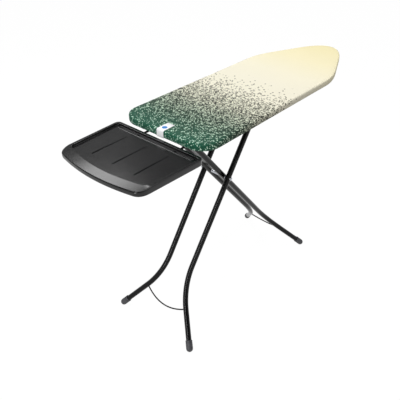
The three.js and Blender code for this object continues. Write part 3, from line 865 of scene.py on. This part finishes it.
# The feet in mm: radius, radius in a groove, distance from the rim to the middle of the round end,
# depth of the socket, and its clearance round the tube.
FOOT, FOOT_GROOVE, FOOT_LENGTH, SOCKET, SOCKET_CLEAR = 15.5, 14.9, 36, 34, 0.3


def foot_profile():
    """A moulded cap with two grip grooves, from its socket's floor to its round end, in mm."""
    bore = TUBE / MM + SOCKET_CLEAR
    profile = [(FOOT_LENGTH, bore), (FOOT_LENGTH, 14.6), (35.4, 15.3), (34, FOOT)]
    for middle in (30.0, 25.5):
        profile += [
            (middle + 0.9, FOOT), (middle + 0.5, FOOT_GROOVE),
            (middle - 0.5, FOOT_GROOVE), (middle - 0.9, FOOT),
        ]
    profile.append((4, FOOT))
    profile += [(-p.y, p.x) for p in arc((0, 0), FOOT, 0.0, math.pi / 2, 8)]
    profile[-1] = (-FOOT, 0.0)
    return [(SOCKET, 0.0), (SOCKET, bore)] + [(FOOT_LENGTH - d, r) for d, r in profile]


class IRONBOARD_OT_legs(bpy.types.Operator):
    """Four bent tubes with their moulded feet, and the two thin braces"""
    bl_idname = "ironboard.legs"
    bl_label = "Legs"

    def execute(self, context):
        for pair, line in leg_lines().items():
            body = f"{pair}_legs"
            foot_run = (line.top.z - FOOT * MM) / -line.down.z
            for name, side in SIDES:
                path = line.tube(side, TOP_GAP[pair], foot_run)
                parts = loft(tube_rings(*path, line.out, TUBE, 40))
                tube = piece(f"{pair}_tube_{name}", *parts, body, finish(black_enamel), "enamel")
                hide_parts(f"{pair}_leg_{name}")
                self.foot(pair, name, side, line, foot_run, body)
            self.brace(pair, line, body)
        return {"FINISHED"}

    def foot(self, pair, name, side, line, run, body):
        centre = line.at(run, side * line.half_at(run))
        outwards = line.slant(side, line.sizes.splay)
        start = centre - outwards * FOOT_LENGTH * MM
        profile = [(d * MM, r * MM) for d, r in foot_profile()]
        cap = turned(
            f"{pair}_cap_{name}", start, start + outwards, profile, body, finish(foot_plastic),
            "foot", 48,
        )
        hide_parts(f"{pair}_foot_{name}")

    def brace(self, pair, line, body):
        sizes = line.sizes
        half = line.half_at(sizes.brace_run) - TUBE
        steps = 40
        centres, tangents = [], []
        for i in range(steps + 1):
            across = 2 * i / steps - 1
            run = sizes.brace_run + sizes.brace_sag * (1 - across * across)
            centres.append(line.at(run, across * half))
            slope = line.down * (-2 * sizes.brace_sag * across)
            tangents.append((slope + LEFT * half).normalized())
        parts = loft(tube_rings(centres, tangents, line.out, BRACE, 16))
        wire = piece(f"{pair}_brace_rod", *parts, body, finish(black_enamel), "enamel")
        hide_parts(f"{pair}_brace_wire")


class IRONBOARD_OT_web(bpy.types.Operator):
    """Pressed plate between the nose legs, with a rolled bead down each side"""
    bl_idname = "ironboard.web"
    bl_label = "Leg plate"

    def execute(self, context):
        line = leg_lines()["nose"]
        half = line.sizes.half_gap - TUBE - 0.5 * MM
        start, end, notch_depth = 16 * MM, 325 * MM, 16 * MM
        # Half of the bead's section: share of the plate's half width, and height in mm.
        bead = ((0.0, 0.0), (0.3, 0.0), (0.66, 0.2), (0.78, 1.9), (0.9, 1.4), (1.0, 0.0))
        section = [(-a, rise) for a, rise in bead[:0:-1]] + list(bead)
        steps = 30
        vertices = []
        for i in range(steps + 1):
            share = i / steps
            fade = min(1.0, 8 * share, 8 * (1 - share))
            for a, rise in section:
                run = start + (end - notch_depth * (1 - a * a) - start) * share
                vertices.append(line.at(run, a * half) - line.out * rise * MM * fade)
        faces = grid(steps + 1, len(section))
        plate = piece("web_plate", vertices, faces, "nose_legs", finish(black_enamel), "enamel", 50)
        thicken(plate, WEB_SHEET)
        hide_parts("nose_leg_web")
        return {"FINISHED"}


# ---- hardware ----

AXIS_X, AXIS_Y = 0, 1

# Radii of the holes in turned pieces: round the hinge axle and slide bar, the crossing's pin and
# the tray's rods.
AXLE_HOLE, PIN_HOLE, ROD_HOLE = 5.3 * MM, 4.3 * MM, 4.8 * MM


class IRONBOARD_OT_hardware(bpy.types.Operator):
    """Axles, sleeves, washers, brackets, track, rods and the height lever"""
    bl_idname = "ironboard.hardware"
    bl_label = "Hardware"

    def execute(self, context):
        bare = finish(zinc), "zinc"
        black = finish(black_enamel), "enamel"
        plastic = finish(nylon), "nylon"
        rounds = [
            ("hinge_axle", AXIS_Y, 0, "board", bare),
            ("hinge_tube", AXIS_Y, AXLE_HOLE, "nose_legs", black),
            ("slide_tube", AXIS_Y, AXLE_HOLE, "tail_legs", black),
            ("slide_bar", AXIS_Y, 0, "tail_legs", bare),
            ("cross_pin", AXIS_Y, 0, "nose_legs", bare),
            ("cross_sleeve", AXIS_Y, PIN_HOLE, "nose_legs", bare),
            ("lever_pin", AXIS_X, 0, "board", bare),
        ]
        plain = [
            ("height_lever", bare), ("lock_rack", bare), ("lever_bracket", bare),
            ("lever_grip", plastic),
        ]
        for name, _ in SIDES:
            rounds += [
                (f"axle_clip_{name}", AXIS_Y, AXLE_HOLE, "board", bare),
                (f"slide_roller_{name}", AXIS_Y, AXLE_HOLE, "tail_legs", plastic),
                (f"cross_washer_{name}", AXIS_Y, PIN_HOLE, "tail_legs", bare),
                (f"tray_rod_{name}", AXIS_X, 0, "tray", black),
                (f"rod_collar_{name}", AXIS_X, ROD_HOLE, "tray", bare),
            ]
            plain += [
                (f"hinge_bracket_{name}", bare), (f"cross_nut_{name}", bare),
                (f"track_rail_{name}", black), (f"tray_clip_{name}", plastic),
                (f"rod_guide_outer_{name}", plastic), (f"rod_guide_inner_{name}", plastic),
            ]
        for node, axis, hole, body, look in rounds:
            round_from_node(node, axis, hole, body, *look)
        for node, look in plain:
            dress(node, *look)
        dress("lever_spring", *bare, edge=0)
        return {"FINISHED"}


# ---- tray ----

class Terrain:
    """A surface over the plane, made from loops of points with heights, then triangulated."""

    def __init__(self):
        self.points, self.heights, self.edges = [], [], []

    def loop(self, points, height):
        """Adds a closed loop. height is a number or a function of the point."""
        first = len(self.points)
        for p in points:
            self.points.append(Vector((p.x, p.y)))
            self.heights.append(height(p) if callable(height) else height)
        last = len(self.points) - 1
        self.edges += [(i, i + 1) for i in range(first, last)] + [(last, first)]
        return list(range(first, last + 1))

    def mesh(self, hole):
        """Vertices and faces, with the faces within the hole left out."""
        within = BoundaryTest(hole)
        flat, _, faces, sources, _, _ = geometry.delaunay_2d_cdt(
            self.points, self.edges, [], 1, 1e-7,
        )
        order = {}
        for new, olds in enumerate(sources):
            for old in olds:
                order[old] = new
        if not all(sources):
            raise ValueError("two loops of the surface cross")
        heights = [self.heights[olds[0]] for olds in sources]
        vertices = [Vector((p.x, p.y, h)) for p, h in zip(flat, heights)]
        kept = [
            tuple(face) for face in faces
            if not within(sum((flat[i] for i in face), Vector((0, 0))) / len(face))
        ]
        return vertices, kept, order


class TrayShape:
    """Where the tray's rim, ridge, recess, slot, bar and grooves run. from_inner and from_outer
    give places by their distance in mm from the edge next to the board and from the outer one."""

    def __init__(self):
        self.low, self.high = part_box("steam_tray")
        self.rim = self.high.z
        self.floor = self.rim - 8.6 * MM
        self.lip = self.rim - 7.6 * MM
        self.inner = self.high.x
        self.outer = self.low.x

    def from_inner(self, mm):
        return self.inner - mm * MM

    def from_outer(self, mm):
        return self.outer + mm * MM

    def ridge(self, y):
        return self.from_outer(38.7) + 19 * MM * (y / (160 * MM)) ** 2

    def edge(self, y):
        return self.outer + 20 * MM * (y / (177 * MM)) ** 2

    def top(self, p):
        """Height of the rim, falling over the band from the ridge to the outer edge."""
        share = (self.ridge(p.y) - p.x) / (self.ridge(p.y) - self.edge(p.y))
        share = min(1.0, max(0.0, share))
        return self.rim - (self.rim - self.lip) * share

    def inwards(self, curve, half):
        """Points on the outer edge or the ridge, from one side to the tray's middle line."""
        return [Vector((curve(y), y)) for y in (half * (1 - i / 12) for i in range(1, 13))]

    def outline(self):
        x, o = self.from_inner, self.from_outer
        near = [Vector((self.inner, 0)), Vector((self.inner, 204 * MM))]
        near += bend(near[-1], (self.inner, 227 * MM), (x(24), 226.5 * MM), 10)
        near.append(Vector((o(69), 216.7 * MM)))
        near += bend(near[-1], (o(25), 214.7 * MM), (o(20), 177 * MM), 12)
        return evenly(mirrored(near + self.inwards(self.edge, 177 * MM)), 280)

    def recess(self):
        x = self.from_inner
        near = [Vector((x(15), 0)), Vector((x(15), 207 * MM))]
        near += bend(near[-1], (x(15), 215.5 * MM), (x(24), 214.8 * MM), 6)
        near.append(Vector((x(232), 203.6 * MM)))
        ridge_end = Vector((self.ridge(178 * MM), 178 * MM))
        near += bend(near[-1], (x(259), 202.3 * MM), ridge_end, 10)
        return evenly(mirrored(near + self.inwards(self.ridge, 178 * MM)), 260)

    def capsule(self, middle, reach, radius):
        """A long rounded shape that lies across the tray."""
        far = arc((middle, reach), radius, 0.0, math.pi, 12)
        return far + arc((middle, -reach), radius, math.pi, math.pi, 12)

    def slot(self, grow=0.0):
        return self.capsule(self.from_inner(22.2), 190 * MM, 3 * MM + grow)

    def bar(self, share):
        return self.capsule(self.from_inner(31.9), 191 * MM, 4.6 * MM * share)

    def groove(self, y, share):
        """A long groove that widens towards the outer edge."""
        narrow = arc((self.from_inner(58), y), share * 1.6 * MM, -math.pi / 2, math.pi, 8)
        return narrow + arc((self.from_outer(99), y), share * 3.2 * MM, math.pi / 2, math.pi, 8)

    def groove_depth(self, p):
        """Shallow next to the board, deeper towards the outer edge."""
        share = (self.from_inner(58) - p.x) / (170 * MM)
        return (1.8 + 1.8 * min(1.0, max(0.0, share))) * MM


RIM_DROP = 3.4 * MM  # from the rim's crest to the top of the skirt
GROOVE_PLACES = (-111 * MM, 0.0, 111 * MM)


class IRONBOARD_OT_tray(bpy.types.Operator):
    """Moulded tray: rolled rim, sloping outer band, grooved floor, slot and bar"""
    bl_idname = "ironboard.tray"
    bl_label = "Tray"

    def execute(self, context):
        shape = TrayShape()
        land = Terrain()
        outline = shape.outline()
        recess = shape.recess()

        def below_rim(drop):
            return lambda p: shape.top(p) - drop

        outer = land.loop(outline, below_rim(RIM_DROP))
        for distance, drop in ((0.3, 2.1), (1.0, 1.1), (2.1, 0.4), (3.6, 0.08), (5.4, 0.0)):
            land.loop(inset(outline, distance * MM), below_rim(drop * MM))
        for distance, drop in ((-1.8, 0.0), (-0.7, 0.2), (0.1, 0.9)):
            land.loop(inset(recess, distance * MM), below_rim(drop * MM))
        for distance, rise in ((0.5, 2.2), (0.9, 0.8), (1.4, 0.2), (2.0, 0.0)):
            land.loop(inset(recess, distance * MM), shape.floor + rise * MM)
        for y in GROOVE_PLACES:
            land.loop(shape.groove(y, 1.0), shape.floor)
            land.loop(shape.groove(y, 0.8), lambda p: shape.floor - 0.7 * shape.groove_depth(p))
            land.loop(shape.groove(y, 0.5), lambda p: shape.floor - shape.groove_depth(p))
        for share, rise in ((1.0, 0.0), (0.8, 1.1), (0.5, 1.7), (0.2, 1.8)):
            land.loop(shape.bar(share), shape.floor + rise * MM)
        hole = land.loop(shape.slot(), shape.floor - 1.2 * MM)
        land.loop(shape.slot(0.5 * MM), shape.floor - 0.4 * MM)
        land.loop(shape.slot(1.3 * MM), shape.floor)
        vertices, faces, order = land.mesh(shape.slot())
        skirt = shape.low.z
        rings = []
        for distance, share in ((0.0, 0.2), (0.1, 0.6), (0.7, 0.9), (1.2, 1.0)):
            ring = []
            for p in inset(outline, distance * MM):
                start = shape.top(p) - RIM_DROP
                ring.append(Vector((p.x, p.y, start + (skirt - start) * share)))
            rings.append(ring)
        self.hang(vertices, faces, [order[i] for i in outer], rings)
        rings = [
            [Vector((p.x, p.y, shape.floor - depth * MM)) for p in shape.slot()]
            for depth in (3.0, 7.0)
        ]
        self.hang(vertices, faces, [order[i] for i in hole], rings)
        tray = piece("tray_shell", vertices, faces, "tray", finish(tray_plastic), "tray", 40)
        thicken(tray, TRAY_WALL, -1.0)
        flat = tray.modifiers.new("flat faces", "WEIGHTED_NORMAL")
        flat.keep_sharp = True
        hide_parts("steam_tray")
        return {"FINISHED"}

    def hang(self, vertices, faces, above, rings):
        """Hangs a wall from a loop of vertices, ring below ring."""
        for ring in rings:
            base = len(vertices)
            vertices.extend(ring)
            below = list(range(base, base + len(ring)))
            for i in range(len(ring)):
                j = (i + 1) % len(ring)
                faces.append((above[i], above[j], below[j], below[i]))
            above = below


# ---- stage ----

class IRONBOARD_OT_stage(bpy.types.Operator):
    """White floor, soft lamps and the camera"""
    bl_idname = "ironboard.stage"
    bl_label = "Stage"

    def execute(self, context):
        scene = context.scene
        scene.view_settings.view_transform = "Standard"
        self.camera(scene)
        self.floor(scene)
        self.world(scene)
        middle = Vector((0.0, 0.0, 0.7))
        lamps = (
            ("key", (0.36, 2.42, 3.58), (2.0, 0.9), 41.0),
            ("top", (0.35, -0.5, 3.6), (2.0, 2.0), 37.0),
            ("side strip", (-2.8, -0.4, 1.7), (0.2, 2.4), 42.0),
        )
        for name, place, size, power in lamps:
            lamp = bpy.data.lights.new(name, "AREA")
            lamp.shape = "RECTANGLE"
            lamp.size, lamp.size_y = size
            lamp.energy = power
            made = bpy.data.objects.new(name, lamp)
            made.location = place
            made.rotation_euler = (middle - Vector(place)).to_track_quat("-Z", "Y").to_euler()
            scene.collection.objects.link(made)
        return {"FINISHED"}

    def camera(self, scene):
        sizes = scene.ironing_board.stage
        camera = bpy.data.cameras.new("camera")
        camera.sensor_width = 36.0
        camera.lens = sizes.lens
        camera.clip_end = 50.0
        made = bpy.data.objects.new("camera", camera)
        made.location = sizes.place
        made.rotation_euler = (math.pi / 2 - sizes.tilt, 0.0, sizes.heading - math.pi / 2)
        scene.collection.objects.link(made)
        scene.camera = made

    def floor(self, scene):
        """White when seen or mirrored, with the object's shadow, and grey as it scatters light."""
        half = 7.0
        mesh = bpy.data.meshes.new("floor")
        corners = [(-half, -half, 0), (half, -half, 0), (half, half, 0), (-half, half, 0)]
        mesh.from_pydata(corners, [], [(0, 1, 2, 3)])
        look = Finish("floor_paper", linear(160, 160, 160), 0.9)
        path = look.add("ShaderNodeLightPath").outputs
        seen = path["Is Camera Ray"]
        for kind in ("Is Glossy Ray", "Is Transmission Ray"):
            seen = look.math("MAXIMUM", seen, path[kind])
        look.colour(look.mix(seen, linear(165, 162, 156), linear(255, 255, 255)))
        glow = look.add("ShaderNodeEmission", Strength=1.02)
        share = look.math("MULTIPLY", seen, 0.95)
        look.blend(share, look.shader, glow, "Material Output")
        mesh.materials.append(look.material)
        made = bpy.data.objects.new("floor", mesh)
        scene.collection.objects.link(made)

    def world(self, scene):
        """White to the camera and as a mirrored backdrop, dim as a ceiling or as light."""
        world = bpy.data.worlds.new("studio")
        scene.world = world
        world.use_nodes = True
        look = Nodes(world.node_tree)
        path = look.add("ShaderNodeLightPath").outputs
        direction = look.add("ShaderNodeTexCoord").outputs["Generated"]
        height = look.add("ShaderNodeSeparateXYZ", Vector=direction).outputs["Z"]
        ceiling = look.add(
            "ShaderNodeMapRange", Value=height, From_Min=0.2, From_Max=0.5, To_Min=1.0, To_Max=0.22,
        )
        direct = look.math("MAXIMUM", path["Is Camera Ray"], path["Is Transmission Ray"])
        seen = look.math("MAXIMUM", direct, path["Is Glossy Ray"])
        light = look.tree.nodes["Background"]
        paper = look.add("ShaderNodeBackground")
        look.feed(light.inputs["Strength"], 0.42)
        look.feed(paper.inputs["Strength"], look.math("MAXIMUM", direct, ceiling.outputs[0]))
        for shader in (light, paper):
            look.feed(shader.inputs["Color"], (1.0, 1.0, 1.0, 1.0))
        look.blend(seen, light, paper, "World Output")


# ---- panel and registration ----

OPERATORS = (
    IRONBOARD_OT_stage, IRONBOARD_OT_underlay, IRONBOARD_OT_cover, IRONBOARD_OT_panel,
    IRONBOARD_OT_label, IRONBOARD_OT_legs, IRONBOARD_OT_web, IRONBOARD_OT_hardware,
    IRONBOARD_OT_tray,
)


class IRONBOARD_PT_build(bpy.types.Panel):
    """Lists the pieces of the ironing board"""
    bl_label = "Ironing board"
    bl_idname = "IRONBOARD_PT_build"
    bl_space_type = "VIEW_3D"
    bl_region_type = "UI"
    bl_category = "Ironing board"

    def draw(self, context):
        for operator in OPERATORS:
            self.layout.operator(operator.bl_idname)
        settings = context.scene.ironing_board
        for group in (settings.cover, settings.nose_legs, settings.tail_legs, settings.stage):
            for name in group.__annotations__:
                self.layout.prop(group, name)


SETTINGS = (CoverSettings, LegSettings, StageSettings, BoardSettings)


def register():
    for item in SETTINGS + OPERATORS + (IRONBOARD_PT_build,):
        bpy.utils.register_class(item)
    bpy.types.Scene.ironing_board = bpy.props.PointerProperty(type=BoardSettings)


def unregister():
    del bpy.types.Scene.ironing_board
    for item in reversed(SETTINGS + OPERATORS + (IRONBOARD_PT_build,)):
        bpy.utils.unregister_class(item)


LEG_SIZES = {
    "nose_legs": (40.2, 974.99, 29.944, 450.0, 1081.0, 35.0),
    "tail_legs": (68.0, 905.5, 33.06, 350.0, 997.0, 35.0),
}


def set_legs(settings):
    """Gives each pair its half gap, splay run, splay, bend radius, brace run and brace sag."""
    for pair, (half_gap, run, splay, radius, brace, sag) in LEG_SIZES.items():
        sizes = getattr(settings, pair)
        sizes.half_gap = half_gap * MM
        sizes.splay_run = run * MM
        sizes.splay = math.radians(splay)
        sizes.bend_radius = radius * MM
        sizes.brace_run = brace * MM
        sizes.brace_sag = sag * MM


def main():
    register()
    set_legs(bpy.context.scene.ironing_board)
    for operator in OPERATORS:
        group, name = operator.bl_idname.split(".")
        getattr(getattr(bpy.ops, group), name)()


if __name__ == "__main__":
    main()
